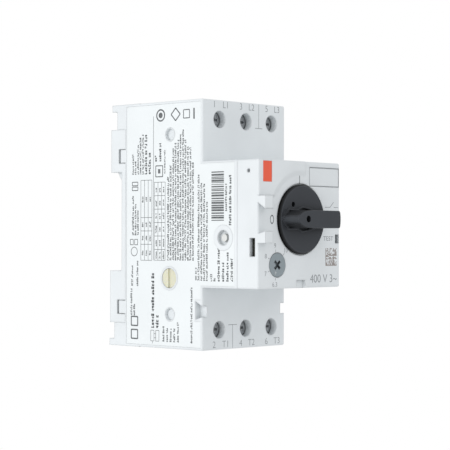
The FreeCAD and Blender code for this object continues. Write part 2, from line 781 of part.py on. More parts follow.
def terminal_screw(x, z):
    head = rod("Y", (x, z), screw_head_r, screw_head_front, screw_head_rear)
    rim = [edge for edge in head.Edges if abs(edge.CenterOfMass.y - screw_head_front) < 1e-6
           and len(edge.Vertexes) == 1]
    head = head.makeChamfer(0.35, rim)
    shank = rod("Y", (x, z), screw_shank_r, screw_head_rear, screw_end)
    screw = join(head, [shank])
    drive = [
        block(x - 2.1, x + 2.1, screw_head_front - 1, screw_head_front + 1.7, z - 0.45, z + 0.45),
        block(x - 0.45, x + 0.45, screw_head_front - 1, screw_head_front + 1.7, z - 2.1, z + 2.1),
    ]
    return screw.cut(drive)


def terminal_cage(x, z):
    """Box clamp: turning the screw draws it forward and presses the wire on the conductor."""
    outer = block(x - cage_half_width, x + cage_half_width, cage_front, cage_rear,
                  z - cage_half_height, z + cage_half_height)
    window = block(x - cage_half_width + 0.9, x + cage_half_width - 0.9, cage_front + cage_wall,
                   cage_rear - cage_wall + 0.1, z - cage_half_height - 1, z + cage_half_height + 1)
    thread = rod("Y", (x, z), screw_shank_r + shaft_gap, cage_front - 1, cage_front + cage_wall + 1)
    return outer.cut([window, thread])


def side_label():
    return label_film(half_width - 0.05, half_width - 0.15, 0.0)


def legend_plate():
    return block(5.3, 21.9, block_front + 0.1, block_front + 0.4, 12.4, 19.1)


def front_tag():
    return block(-20.25, -15.7, block_front - 0.45, block_front - 0.35, 13.4, 20.6)


def calibration_plug():
    plug = rod("X", (plug_y, plug_z), plug_r, -half_width + 0.15, -half_width + 1.6)
    return plug.cut(block(-half_width - 1, -half_width + 0.8, plug_y - 0.9, plug_y + 0.6, plug_z - 4, plug_z + 4))


def latch_spring():
    return coil_spring("Z", (0.0, 2.3), 1.1, 0.22, -34.2, -25.0 + latch_travel, 8)


os.makedirs("parts", exist_ok=True)
save("main_housing", main_housing())
save("base_housing", base_housing())
save("front_cover", front_cover())
save("bearing_plate", bearing_plate())
save("side_label", side_label())
save("legend_plate", legend_plate())
save("front_tag", front_tag())
save("calibration_plug", calibration_plug())
save("rail_latch", rail_latch())
save("latch_spring", latch_spring())
save("rotary_knob", rotary_knob())
save("knob_shaft", knob_shaft())
save("handle_lock_tab", handle_lock_tab())
save("contact_carrier", contact_carrier())
save("contact_bridges", contact_bridges())
save("bridge_pads", bridge_pads())
save("fixed_pads", fixed_pads())
save("contact_springs", contact_springs())
save("carrier_spring", carrier_spring())
save("spring_post", spring_post())
save("line_conductors", line_conductors())
save("load_contacts", load_contacts())
save("load_conductors", load_conductors())
save("arc_plates", arc_plates())
save("magnet_coils", magnet_coils())
save("coil_bobbins", coil_bobbins())
save("magnet_yokes", magnet_yokes())
save("bimetal_strips", bimetal_strips())
save("heater_windings", heater_windings())
save("trip_slider", trip_slider())
save("trip_shaft", trip_shaft())
save("test_lever", test_lever())
save("mechanism_frame", mechanism_frame())
save("setting_dial", setting_dial())
save("adjusting_nut", adjusting_nut())
save("aux_drive", aux_drive())
for number, x in enumerate(poles, 1):
    save(f"magnet_plunger_{number}", magnet_plunger(x))
    save(f"plunger_spring_{number}", plunger_spring(x))
    save(f"line_screw_{number}", terminal_screw(x, line_z))
    save(f"load_screw_{number}", terminal_screw(x, load_z))
    save(f"line_cage_{number}", terminal_cage(x, line_z))
    save(f"load_cage_{number}", terminal_cage(x, load_z))
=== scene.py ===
import bpy
import bmesh
import json
import math
import random
from mathutils import Matrix, Vector


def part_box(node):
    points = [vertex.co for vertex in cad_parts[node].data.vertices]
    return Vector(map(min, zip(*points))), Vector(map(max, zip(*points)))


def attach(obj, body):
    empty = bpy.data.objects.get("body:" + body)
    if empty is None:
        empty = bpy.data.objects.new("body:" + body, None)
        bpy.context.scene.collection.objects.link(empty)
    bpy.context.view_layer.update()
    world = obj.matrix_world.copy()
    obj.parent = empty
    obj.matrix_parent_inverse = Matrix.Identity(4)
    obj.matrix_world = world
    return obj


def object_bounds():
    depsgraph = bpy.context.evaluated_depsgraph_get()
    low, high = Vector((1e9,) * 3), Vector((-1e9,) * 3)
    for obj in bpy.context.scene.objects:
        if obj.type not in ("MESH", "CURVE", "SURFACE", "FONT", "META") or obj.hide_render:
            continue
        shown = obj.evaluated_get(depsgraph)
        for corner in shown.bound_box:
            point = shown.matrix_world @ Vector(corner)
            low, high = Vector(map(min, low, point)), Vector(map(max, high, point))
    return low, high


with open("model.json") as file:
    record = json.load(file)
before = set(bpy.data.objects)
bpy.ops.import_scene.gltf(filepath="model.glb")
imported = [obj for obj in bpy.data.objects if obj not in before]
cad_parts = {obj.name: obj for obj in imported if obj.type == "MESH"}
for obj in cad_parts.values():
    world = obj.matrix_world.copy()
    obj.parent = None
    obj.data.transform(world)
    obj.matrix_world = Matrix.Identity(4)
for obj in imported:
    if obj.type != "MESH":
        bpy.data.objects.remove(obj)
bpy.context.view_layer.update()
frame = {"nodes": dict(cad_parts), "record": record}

mm = 0.001
nodes = frame["nodes"]
print("frame loaded:", len(nodes), "nodes")


camera = {
    "place": (-0.41846, -0.42072, -0.00684),  # metres
    "yaw": 47.125,  # degrees, turned right from looking straight at the front
    "pitch": 0.553,  # degrees upwards
    "roll": 0.073,
    "lens": 123.18,  # millimetres
    "sensor": 36,
}
studio = {
    "backdrop": 1.0,  # brightness behind the object
    "fill": 0.72,  # light from all round
    "leftPower": 5.4,  # watts
    "frontPower": 2.3,
    "lampAim": (0, -0.03, 0),
    "floorDrop": 0.26,  # metres below the lowest point
    "floorRadius": 0.7,
}


def aimCamera():
    yaw = math.radians(camera["yaw"])
    pitch = math.radians(camera["pitch"])
    ahead = Vector((math.cos(pitch) * math.sin(yaw), math.cos(pitch) * math.cos(yaw), math.sin(pitch)))
    data = bpy.data.cameras.new("camera")
    data.lens = camera["lens"]
    data.sensor_width = camera["sensor"]
    data.clip_start = 0.01
    body = bpy.data.objects.new("camera", data)
    turn = ahead.to_track_quat("-Z", "Y").to_matrix().to_4x4()
    roll = Matrix.Rotation(math.radians(camera["roll"]), 4, "Z")
    body.matrix_world = Matrix.Translation(camera["place"]) @ turn @ roll
    bpy.context.scene.collection.objects.link(body)
    bpy.context.scene.camera = body


def softBox(name, place, target, size, power):
    data = bpy.data.lights.new(name, "AREA")
    data.shape = "RECTANGLE"
    data.size, data.size_y = size
    data.energy = power
    lamp = bpy.data.objects.new(name, data)
    aim = (Vector(target) - Vector(place)).to_track_quat("-Z", "Y").to_matrix().to_4x4()
    lamp.matrix_world = Matrix.Translation(place) @ aim
    bpy.context.scene.collection.objects.link(lamp)


def whiteWorld():
    world = bpy.data.worlds.new("studio")
    world.use_nodes = True
    tree = world.node_tree
    tree.nodes.clear()
    out = tree.nodes.new("ShaderNodeOutputWorld")
    seen = tree.nodes.new("ShaderNodeBackground")
    seen.inputs["Strength"].default_value = studio["backdrop"]
    seen.inputs["Color"].default_value = (1, 1, 1, 1)
    fill = tree.nodes.new("ShaderNodeBackground")
    fill.inputs["Strength"].default_value = studio["fill"]
    fill.inputs["Color"].default_value = (0.97, 0.985, 1, 1)
    path = tree.nodes.new("ShaderNodeLightPath")
    mix = tree.nodes.new("ShaderNodeMixShader")
    tree.links.new(path.outputs["Is Camera Ray"], mix.inputs[0])
    tree.links.new(fill.outputs[0], mix.inputs[1])
    tree.links.new(seen.outputs[0], mix.inputs[2])
    tree.links.new(mix.outputs[0], out.inputs["Surface"])
    bpy.context.scene.world = world


aimCamera()
whiteWorld()
softBox("leftSoftBox", (-1.1, 0.05, 0.15), studio["lampAim"], (1.1, 1.1), studio["leftPower"])
softBox("frontSoftBox", (0.1, -1.2, 0.7), studio["lampAim"], (0.9, 0.9), studio["frontPower"])
bpy.context.scene.view_settings.view_transform = "Standard"
print("camera and lights set")


def newGroup(name, inputs, outputs):
    group = bpy.data.node_groups.new(name, "ShaderNodeTree")
    for label, kind, value in inputs:
        socket = group.interface.new_socket(label, in_out="INPUT", socket_type=kind)
        socket.default_value = value
    for label, kind in outputs:
        group.interface.new_socket(label, in_out="OUTPUT", socket_type=kind)
    start = group.nodes.new("NodeGroupInput")
    end = group.nodes.new("NodeGroupOutput")
    return group, start, end


def mathNode(tree, operation, first, second=0.5, clamp=False):
    node = tree.nodes.new("ShaderNodeMath")
    node.operation = operation
    node.use_clamp = clamp
    for slot, value in ((0, first), (1, second)):
        if isinstance(value, (int, float)):
            node.inputs[slot].default_value = value
        else:
            tree.links.new(value, node.inputs[slot])
    return node.outputs[0]


def noiseNode(tree, scale, detail, vector=None):
    node = tree.nodes.new("ShaderNodeTexNoise")
    node.inputs["Detail"].default_value = detail
    if isinstance(scale, (int, float)):
        node.inputs["Scale"].default_value = scale
    else:
        tree.links.new(scale, node.inputs["Scale"])
    if vector is None:
        vector = tree.nodes.new("ShaderNodeTexCoord").outputs["Object"]
    tree.links.new(vector, node.inputs["Vector"])
    return node.outputs["Fac"]


def mouldedGrainGroup():
    # fine spark-eroded grain, with slow drifts of tone and gloss over the moulding
    group, start, end = newGroup(
        "mouldedGrain",
        [("Grain Scale", "NodeSocketFloat", 4000), ("Drift Scale", "NodeSocketFloat", 60)],
        [("Height", "NodeSocketFloat"), ("Tone", "NodeSocketFloat"), ("Gloss", "NodeSocketFloat")],
    )
    fine = noiseNode(group, start.outputs["Grain Scale"], 3)
    coarse = noiseNode(group, mathNode(group, "MULTIPLY", start.outputs["Grain Scale"], 0.31), 2)
    large = mathNode(group, "MULTIPLY", coarse, 0.4)
    height = mathNode(group, "ADD", mathNode(group, "MULTIPLY", fine, 0.6), large)
    slow = noiseNode(group, start.outputs["Drift Scale"], 2)
    group.links.new(height, end.inputs["Height"])
    group.links.new(slow, end.inputs["Tone"])
    group.links.new(mathNode(group, "MULTIPLY", slow, fine), end.inputs["Gloss"])
    return group


def softEdgeGroup():
    # rounds sharp moulded edges and marks where they are, for painted edge highlights
    group, start, end = newGroup(
        "softEdge",
        [("Radius", "NodeSocketFloat", 0.25 * mm)],
        [("Normal", "NodeSocketVector"), ("Edge", "NodeSocketFloat")],
    )
    bevel = group.nodes.new("ShaderNodeBevel")
    bevel.samples = 6
    group.links.new(start.outputs["Radius"], bevel.inputs["Radius"])
    flat = group.nodes.new("ShaderNodeNewGeometry").outputs["Normal"]
    dot = group.nodes.new("ShaderNodeVectorMath")
    dot.operation = "DOT_PRODUCT"
    group.links.new(bevel.outputs["Normal"], dot.inputs[0])
    group.links.new(flat, dot.inputs[1])
    turned = mathNode(group, "SUBTRACT", 1.0, dot.outputs["Value"], True)
    group.links.new(bevel.outputs["Normal"], end.inputs["Normal"])
    group.links.new(mathNode(group, "MULTIPLY", turned, 3.0, True), end.inputs["Edge"])
    return group


def settledDustGroup():
    # thin dust on faces that look up, broken by noise
    group, start, end = newGroup(
        "settledDust",
        [("Amount", "NodeSocketFloat", 0.15), ("Scale", "NodeSocketFloat", 900)],
        [("Mask", "NodeSocketFloat")],
    )
    split = group.nodes.new("ShaderNodeSeparateXYZ")
    group.links.new(group.nodes.new("ShaderNodeNewGeometry").outputs["Normal"], split.inputs[0])
    up = mathNode(group, "SUBTRACT", split.outputs["Z"], 0.5, True)
    speckle = mathNode(group, "POWER", noiseNode(group, start.outputs["Scale"], 4), 2.0)
    mask = mathNode(group, "MULTIPLY", mathNode(group, "MULTIPLY", up, 2.0), speckle)
    group.links.new(mathNode(group, "MULTIPLY", mask, start.outputs["Amount"], True), end.inputs["Mask"])
    return group


def creviceGroup():
    # marks places shut in by the walls round them: slots, holes and the foot of a step, where painted shade goes
    group, start, end = newGroup(
        "creviceShade",
        [("Reach", "NodeSocketFloat", 2.5 * mm), ("Sharpness", "NodeSocketFloat", 1.6)],
        [("Mask", "NodeSocketFloat")],
    )
    shut = group.nodes.new("ShaderNodeAmbientOcclusion")
    shut.samples = 6
    group.links.new(start.outputs["Reach"], shut.inputs["Distance"])
    closed = mathNode(group, "SUBTRACT", 1.0, shut.outputs["AO"], True)
    group.links.new(mathNode(group, "POWER", closed, start.outputs["Sharpness"], True), end.inputs["Mask"])
    return group


def ringGroup():
    # marks everything further than a radius from an axis along Y, in the piece's own coordinates
    group, start, end = newGroup(
        "ring",
        [("Centre X", "NodeSocketFloat", 0),
         ("Centre Z", "NodeSocketFloat", 0),
         ("Radius", "NodeSocketFloat", 10 * mm)],
        [("Mask", "NodeSocketFloat")],
    )
    split = group.nodes.new("ShaderNodeSeparateXYZ")
    group.links.new(group.nodes.new("ShaderNodeTexCoord").outputs["Object"], split.inputs[0])
    right = mathNode(group, "SUBTRACT", split.outputs["X"], start.outputs["Centre X"])
    up = mathNode(group, "SUBTRACT", split.outputs["Z"], start.outputs["Centre Z"])
    square = mathNode(group, "ADD", mathNode(group, "MULTIPLY", right, right), mathNode(group, "MULTIPLY", up, up))
    away = mathNode(group, "SQRT", square, 0)
    group.links.new(mathNode(group, "GREATER_THAN", away, start.outputs["Radius"]), end.inputs["Mask"])
    return group


def drawnGrainGroup():
    # long fine lines along one axis, as on rolled or turned metal
    group, start, end = newGroup(
        "drawnGrain",
        [("Scale", "NodeSocketFloat", 1800), ("Stretch", "NodeSocketVector", (1, 1, 0.06))],
        [("Height", "NodeSocketFloat"), ("Tone", "NodeSocketFloat")],
    )
    place = group.nodes.new("ShaderNodeTexCoord").outputs["Object"]
    stretch = group.nodes.new("ShaderNodeVectorMath")
    stretch.operation = "MULTIPLY"
    group.links.new(place, stretch.inputs[0])
    group.links.new(start.outputs["Stretch"], stretch.inputs[1])
    lines = noiseNode(group, start.outputs["Scale"], 4, stretch.outputs[0])
    group.links.new(lines, end.inputs["Height"])
    group.links.new(noiseNode(group, 300, 3), end.inputs["Tone"])
    return group


mouldedGrain = mouldedGrainGroup()
softEdge = softEdgeGroup()
settledDust = settledDustGroup()
drawnGrain = drawnGrainGroup()
creviceShade = creviceGroup()
ring = ringGroup()
print("shader groups built")


def linearValue(level):
    share = level / 255
    return share / 12.92 if level <= 10 else ((share + 0.055) / 1.055) ** 2.4


def linear(red, green, blue):
    return (linearValue(red), linearValue(green), linearValue(blue), 1)


def shade(color, factor):
    return tuple(min(1, c * factor) for c in color[:3]) + (1,)


def newMaterial(name):
    material = bpy.data.materials.new(name)
    material.use_nodes = True
    tree = material.node_tree
    shader = tree.nodes["Principled BSDF"]
    return material, tree, shader


def placeGroup(tree, group, **values):
    node = tree.nodes.new("ShaderNodeGroup")
    node.node_tree = group
    for label, value in values.items():
        node.inputs[label].default_value = value
    return node


def mixColor(tree, mask, first, second):
    node = tree.nodes.new("ShaderNodeMix")
    node.data_type = "RGBA"
    tree.links.new(mask, node.inputs["Factor"])
    for slot, value in ((6, first), (7, second)):
        if isinstance(value, tuple):
            node.inputs[slot].default_value = value
        else:
            tree.links.new(value, node.inputs[slot])
    return node.outputs[2]


def spread(tree, value, low, high):
    # spreads a noise, which stays near its middle, over low to high
    node = tree.nodes.new("ShaderNodeMapRange")
    node.inputs["From Min"].default_value = 0.3
    node.inputs["From Max"].default_value = 0.7
    node.inputs["To Min"].default_value = low
    node.inputs["To Max"].default_value = high
    tree.links.new(value, node.inputs["Value"])
    return node.outputs["Result"]


def bump(tree, shader, height, strength, depth, normal=None):
    node = tree.nodes.new("ShaderNodeBump")
    node.inputs["Strength"].default_value = strength
    node.inputs["Distance"].default_value = depth
    tree.links.new(height, node.inputs["Height"])
    if normal is not None:
        tree.links.new(normal, node.inputs["Normal"])
    tree.links.new(node.outputs[0], shader.inputs["Normal"])


plasticLook = {
    "grainScale": 4000,
    "grainDepth": 0.01,  # millimetres
    "edge": 0.25,  # millimetres of softened edge
    # how much lighter the painted highlight makes edges
    "edgeTone": 1.05,
    "dust": 0.1,
    "tone": 0.04,  # drift of colour over the moulding
    "shadow": 0.5,  # how much darker the painted shade makes shut-in places
    "reach": 2.5,  # millimetres to the walls that shut a place in
    "sharpness": 1.6,
}


def plastic(name, color, rough, **options):
    look = dict(plasticLook, **options)
    material, tree, shader = newMaterial(name)
    grain = placeGroup(tree, mouldedGrain)
    grain.inputs["Grain Scale"].default_value = look["grainScale"]
    corner = placeGroup(tree, softEdge, Radius=look["edge"] * mm)
    settled = placeGroup(tree, settledDust, Amount=look["dust"])
    shut = placeGroup(tree, creviceShade, Reach=look["reach"] * mm, Sharpness=look["sharpness"])
    tone = look["tone"]
    patches = spread(tree, grain.outputs["Tone"], 0, 1)
    base = mixColor(tree, patches, shade(color, 1 - tone), shade(color, 1 + tone / 2))
    # painted shade: shut-in places are darkened towards a darker copy of the colour
    shadow = mixColor(tree, shut.outputs["Mask"], base, shade(color, 1 - look["shadow"]))
    # painted highlight: edges are lightened as if catching the light
    edgeLit = mixColor(tree, corner.outputs["Edge"], shadow, shade(color, look["edgeTone"]))
    # real dust laid over the painted shade and edge highlights
    dustOverPaintedLight = mixColor(tree, settled.outputs["Mask"], edgeLit, linear(190, 186, 178))
    tree.links.new(dustOverPaintedLight, shader.inputs["Base Color"])
    tree.links.new(spread(tree, grain.outputs["Tone"], rough - 0.05, rough + 0.05), shader.inputs["Roughness"])
    bump(tree, shader, grain.outputs["Height"], 0.35, look["grainDepth"] * mm, corner.outputs["Normal"])
    return material, tree, shader, dustOverPaintedLight


def metal(name, color, rough, stretch=(1, 1, 0.06), scale=1800, tarnish=0.8):
    material, tree, shader = newMaterial(name)
    drawn = placeGroup(tree, drawnGrain, Scale=scale, Stretch=stretch)
    corner = placeGroup(tree, softEdge, Radius=0.12 * mm)
    base = mixColor(tree, spread(tree, drawn.outputs["Tone"], 0, 1), shade(color, tarnish), color)
    # painted highlight: edges are lightened as if catching the light
    tree.links.new(mixColor(tree, corner.outputs["Edge"], base, shade(color, 1.15)), shader.inputs["Base Color"])
    tree.links.new(spread(tree, drawn.outputs["Height"], rough - 0.1, rough + 0.1), shader.inputs["Roughness"])
    shader.inputs["Metallic"].default_value = 1
    bump(tree, shader, drawn.outputs["Height"], 0.3, 0.02 * mm, corner.outputs["Normal"])
    return material


def inkMaterial(name, color, fade=0.25):
    # pad print: uneven ink with the ground showing through a little
    material, tree, shader = newMaterial(name)
    patch = noiseNode(tree, 2500, 4)
    blend = mixColor(tree, spread(tree, patch, 0, fade), color, linear(215, 218, 220))
    tree.links.new(blend, shader.inputs["Base Color"])
    tree.links.new(spread(tree, patch, 0.45, 0.65), shader.inputs["Roughness"])
    bump(tree, shader, patch, 0.1, 0.01 * mm)
    return material


colors = {
    "housing": linear(232, 236, 238),
    "label": linear(238, 242, 243),
    "knob": linear(60, 63, 68),
    "knobRimShade": linear(4, 5, 7),
    "dial": linear(150, 161, 166),
    "orange": linear(244, 96, 64),
    "plug": linear(230, 228, 204),
    "olive": linear(48, 49, 40),
    "ink": linear(62, 66, 69),
    "paleInk": linear(146, 150, 153),
    "codeInk": linear(150, 138, 132),
    "mechanism": linear(226, 227, 224),
    "zinc": linear(196, 198, 200),
    "spring": linear(170, 172, 174),
    "copper": linear(206, 132, 96),
    "silver": linear(222, 222, 218),
    "bimetal": linear(168, 158, 146),
}

knob = {
    "rimStart": 12.1,  # millimetres from the axis
    "barHeight": 7.4,  # millimetres back from the bar's front
    "pocketDepth": 7.8,  # millimetres back from the bar's front
    "pocketShade": 0.3,
    "noseEnd": -4.5,  # millimetres from the axis, along the bar
}


def noseShade(tree, base, place, low, band):
    # painted shade: the nose's flanks, which turn up and down into its two pockets, are painted darker than its
    # tip
    turned = tree.nodes.new("ShaderNodeSeparateXYZ")
    tree.links.new(tree.nodes.new("ShaderNodeTexCoord").outputs["Normal"], turned.inputs[0])
    steep = mathNode(tree, "ABSOLUTE", turned.outputs["Z"], 0)
    flank = mathNode(tree, "MULTIPLY", mathNode(tree, "SUBTRACT", steep, 0.45, True), 2.2, True)
    edge = band.inputs["Centre X"].default_value + knob["noseEnd"] * mm
    atNose = mathNode(tree, "LESS_THAN", place.outputs["X"], edge)
    onBar = mathNode(tree, "SUBTRACT", 1.0, low)
    mask = mathNode(tree, "MULTIPLY", mathNode(tree, "MULTIPLY", flank, atNose), onBar)
    return mixColor(tree, mask, base, shade(colors["knob"], knob["pocketShade"]))


def knobMaterial():
    # the same moulding all over, with painted shade on the rim band outside the raised face, in the pockets and on
    # the nose's flanks
    material, tree, shader, base = plastic(
        "knobPlastic", colors["knob"], 0.52, grainScale=5200, grainDepth=0.02, edge=0.25, edgeTone=2.2, tone=0.1,
        shadow=0.95, reach=2.5, sharpness=1.1)
    places = nodes["rotary_knob"].bound_box
    band = placeGroup(tree, ring, Radius=knob["rimStart"] * mm)
    band.inputs["Centre X"].default_value = (min(p[0] for p in places) + max(p[0] for p in places)) / 2
    band.inputs["Centre Z"].default_value = (min(p[2] for p in places) + max(p[2] for p in places)) / 2
    high = tree.nodes.new("ShaderNodeSeparateXYZ")
    tree.links.new(tree.nodes.new("ShaderNodeTexCoord").outputs["Object"], high.inputs[0])
    barFront = min(p[1] for p in places)
    low = mathNode(tree, "GREATER_THAN", high.outputs["Y"], barFront + knob["barHeight"] * mm)
    sunk = mathNode(tree, "GREATER_THAN", high.outputs["Y"], barFront + knob["pocketDepth"] * mm)
    onRim = mathNode(tree, "MULTIPLY", band.outputs["Mask"], low)
    shaded = noseShade(tree, base, high, low, band)
    # painted shade: the floors of the pockets beside the bar are painted darker
    inPocket = mixColor(tree, sunk, shaded, shade(colors["knob"], knob["pocketShade"]))
    # painted shade: the rim band outside the raised face is painted near black
    tree.links.new(mixColor(tree, onRim, inPocket, colors["knobRimShade"]), shader.inputs["Base Color"])
    shader.inputs["Specular IOR Level"].default_value = 0.3
    return material


housingPlastic = plastic("housingPlastic", colors["housing"], 0.48, edge=0.85, edgeTone=1.03, shadow=0.6,
                         reach=3, sharpness=3.2)[0]
labelFilm = plastic("labelFilm", colors["label"], 0.4, grainScale=9000, grainDepth=0.004, edge=0.1,
                    edgeTone=1.02, dust=0.05, tone=0.02, shadow=0.3, reach=1)[0]
knobPlastic = knobMaterial()
dialPlastic = plastic("dialPlastic", colors["dial"], 0.42, grainScale=3000, grainDepth=0.02, edge=0.2,
                      edgeTone=1.2, dust=0.05, tone=0.12, shadow=0.95, reach=2, sharpness=0.7)[0]
orangePrint = plastic("orangePrint", colors["orange"], 0.45, grainScale=7000, grainDepth=0.004, edge=0.08,
                      edgeTone=1.1, dust=0.03, tone=0.05, shadow=0.1, reach=1)[0]
olivePlastic = plastic("olivePlastic", colors["olive"], 0.45, grainScale=3500, grainDepth=0.02, edge=0.2,
                       edgeTone=1.3, tone=0.12)[0]
mechanismPlastic = plastic("mechanismPlastic", colors["mechanism"], 0.5, grainScale=2500, grainDepth=0.02,
                           edge=0.2, edgeTone=1.1, tone=0.1)[0]
plugParts = plastic(
    "plugPlastic", colors["plug"], 0.28, grainScale=2500, grainDepth=0.006, edge=0.2, edgeTone=1.1, dust=0.05,
    tone=0.08, shadow=0.1, reach=1.5)
plugPlastic, plugShader = plugParts[0], plugParts[2]
plugShader.inputs["Subsurface Weight"].default_value = 0.4
plugShader.inputs["Subsurface Radius"].default_value = (0.0015, 0.0013, 0.0008)
plugShader.inputs["Coat Weight"].default_value = 0.3

zincSteel = metal("zincSteel", colors["zinc"], 0.38)
springSteel = metal("springSteel", colors["spring"], 0.3, (1, 1, 1), 3000)
copperMetal = metal("copperMetal", colors["copper"], 0.32, (0.06, 1, 1))
silverMetal = metal("silverMetal", colors["silver"], 0.3, (1, 1, 1), 2500)
bimetalMetal = metal("bimetalMetal", colors["bimetal"], 0.42, (1, 0.06, 1))

darkInk = inkMaterial("darkInk", colors["ink"])
paleInk = inkMaterial("paleInk", colors["paleInk"], 0.2)
codeInk = inkMaterial("codeInk", colors["codeInk"], 0.3)
pointerInk = inkMaterial("pointerInk", linear(176, 182, 184), 0.1)
print("materials built")

finishes = {
    "white_plastic": housingPlastic,
    "label_film": labelFilm,
    "dark_plastic": knobPlastic,
    "orange_print": orangePrint,
    "grey_plastic": dialPlastic,
    "yellow_plug": plugPlastic,
    "olive_plastic": olivePlastic,
    "mechanism_plastic": mechanismPlastic,
    "zinc_steel": zincSteel,
    "spring_steel": springSteel,
    "copper": copperMetal,
    "silver": silverMetal,
    "bimetal": bimetalMetal,
}

for part in frame["record"]["subparts"]:
    piece = nodes[part["node"]]
    piece.data.materials.clear()
    piece.data.materials.append(finishes[part["material_slot"]])
print("finishes put on the CAD nodes")


def centreOf(node):
    low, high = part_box(node)
    return (low + high) / 2


def addPiece(name, mesh, material, body):
    piece = bpy.data.objects.new(name, mesh)
    bpy.context.scene.collection.objects.link(piece)
    mesh.materials.append(material)
    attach(piece, body)
    return piece


inkGap = 0.02 * mm


class Sheet:
    # collects flat shapes in one plane: u runs along the reading direction, v up the letters

    def __init__(self, origin, along, upward):
        self.origin = Vector(origin)
        self.along = Vector(along)
        self.upward = Vector(upward)
        self.bm = bmesh.new()

    def point(self, u, v):
        return self.origin + self.along * (u * mm) + self.upward * (v * mm)

    def polygon(self, corners):
        self.bm.faces.new([self.bm.verts.new(self.point(u, v)) for u, v in corners])

    def bar(self, u0, v0, u1, v1):
        self.polygon([(u0, v0), (u1, v0), (u1, v1), (u0, v1)])

    def line(self, start, end, width):
        du, dv = end[0] - start[0], end[1] - start[1]
        length = math.hypot(du, dv)
        nu, nv = -dv / length * width / 2, du / length * width / 2
        self.polygon([
            (start[0] - nu, start[1] - nv), (end[0] - nu, end[1] - nv),
            (end[0] + nu, end[1] + nv), (start[0] + nu, start[1] + nv)])

    def circle(self, centre, radius, width, steps=40, narrow=1.0):
        for i in range(steps):
            first = math.radians(360 * i / steps)
            second = math.radians(360 * (i + 1) / steps)
            corners = []
            for angle, r in ((first, radius), (second, radius), (second, radius - width), (first, radius - width)):
                corners.append((centre[0] + r * math.cos(angle) * narrow, centre[1] + r * math.sin(angle)))
            self.polygon(corners)

    def frame(self, u0, v0, u1, v1, width):
        self.line((u0, v0), (u1, v0), width)
        self.line((u1, v0), (u1, v1), width)
        self.line((u1, v1), (u0, v1), width)
        self.line((u0, v1), (u0, v0), width)

    def greek(self, dice, u0, u1, v, height, bold=False):
        # a line of unreadable small print: strokes and dashes grouped into words
        pen = height * (0.27 if bold else 0.25)
        glyph = height * 0.56
        u = u0
        left = dice.randint(2, 8)
        while u + glyph <= u1 + 0.01:
            kinds = dice.sample(("left", "right", "top", "base", "mid"), dice.choice((2, 3, 3)))
            low, high = v - height / 2, v + height / 2
            if dice.random() < 0.6:
                high -= height * 0.25
            if "left" in kinds:
                self.bar(u, low, u + pen, high)
            if "right" in kinds:
                self.bar(u + glyph - pen, low, u + glyph, high)
            if "top" in kinds:
                self.bar(u, high - pen, u + glyph, high)
            if "base" in kinds:
                self.bar(u, low, u + glyph, low + pen)
            if "mid" in kinds:
                self.bar(u, (low + high - pen) / 2, u + glyph, (low + high + pen) / 2)
            u += glyph + height * 0.16
            left -= 1
            if left == 0:
                u += height * 0.42
                left = dice.randint(2, 8)

    def letters(self, text, u, v, height, width=None, thin=0.0):
        # generic figures and signs from the built-in font, centred on u and v
        curve = bpy.data.curves.new("letters", "FONT")
        curve.body = text
        curve.size = 1
        curve.offset = thin
        thing = bpy.data.objects.new("letters", curve)
        bpy.context.scene.collection.objects.link(thing)
        bpy.context.view_layer.update()
        flat = bpy.data.meshes.new_from_object(thing.evaluated_get(bpy.context.evaluated_depsgraph_get()))
        bpy.data.objects.remove(thing)
        xs = [vertex.co.x for vertex in flat.vertices]
        ys = [vertex.co.y for vertex in flat.vertices]
        scaleV = height / (max(ys) - min(ys))
        scaleU = (width / (max(xs) - min(xs))) if width else scaleV
        midX, midY = (max(xs) + min(xs)) / 2, (max(ys) + min(ys)) / 2
        made = []
        for vertex in flat.vertices:
            across, up = (vertex.co.x - midX) * scaleU, (vertex.co.y - midY) * scaleV
            made.append(self.bm.verts.new(self.point(u + across, v + up)))
        for polygon in flat.polygons:
            try:
                self.bm.faces.new([made[i] for i in polygon.vertices])
            except ValueError:
                continue
        bpy.data.meshes.remove(flat)

    def finish(self, name, material, body="housing", slot="label_film"):
        facing = self.along.cross(self.upward)
        for face in self.bm.faces:
            face.normal_update()
            if face.normal.dot(facing) < 0:
                face.normal_flip()
        mesh = bpy.data.meshes.new(name)
        self.bm.to_mesh(mesh)
        self.bm.free()
        return addPiece(name, mesh, material, body)


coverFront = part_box("setting_dial")[0].y
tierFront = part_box("line_screw_1")[0].y - 3 * mm
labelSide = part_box("side_label")[0].x
poleX = [centreOf("line_screw_" + str(i)).x / mm for i in (1, 2, 3)]


def frontSheet(y):
    return Sheet((0, y - inkGap, 0), (1, 0, 0), (0, 0, 1))


def sideSheet():
    return Sheet((labelSide - inkGap, 0, 0), (0, 0, 1), (0, 1, 0))


frontMarks = {
    "setting": ["6.3", "7", "8", "9", "10"],
    "settingFrom": 258,
    "settingStep": -52.5,
    "settingRadius": 6.9,
    "figureHeight": 1.6,
    "tickFrom": 4.6,
    "tickTo": 5.5,
    "switchSign": [((13.9, 5.0), (16.9, 5.0)), ((16.9, 5.0), (18.9, 6.9)), ((19.0, 5.0), (21.4, 5.0))],
    "testPlace": (15.9, -6.3),
    "testSize": (1.6, 5.6),  # height and width
    "rating": "400 V 3~",
    "ratingPlace": (13.2, -20.7),
    "ratingSize": (2.9, 15.2),
    "onStroke": ((-0.2, 12.9), (-0.2, 16.0)),
    "offPlace": (-15.1, 0.3),
    "offRadius": 1.6,
    "offPen": 0.42,
    "pen": 0.2,
    "codeCells": 16,
    "codeFill": 0.96,  # share of a cell that is inked
    "codeSize": 6.4,
    "codeCorner": (14.3, -16.2),
}


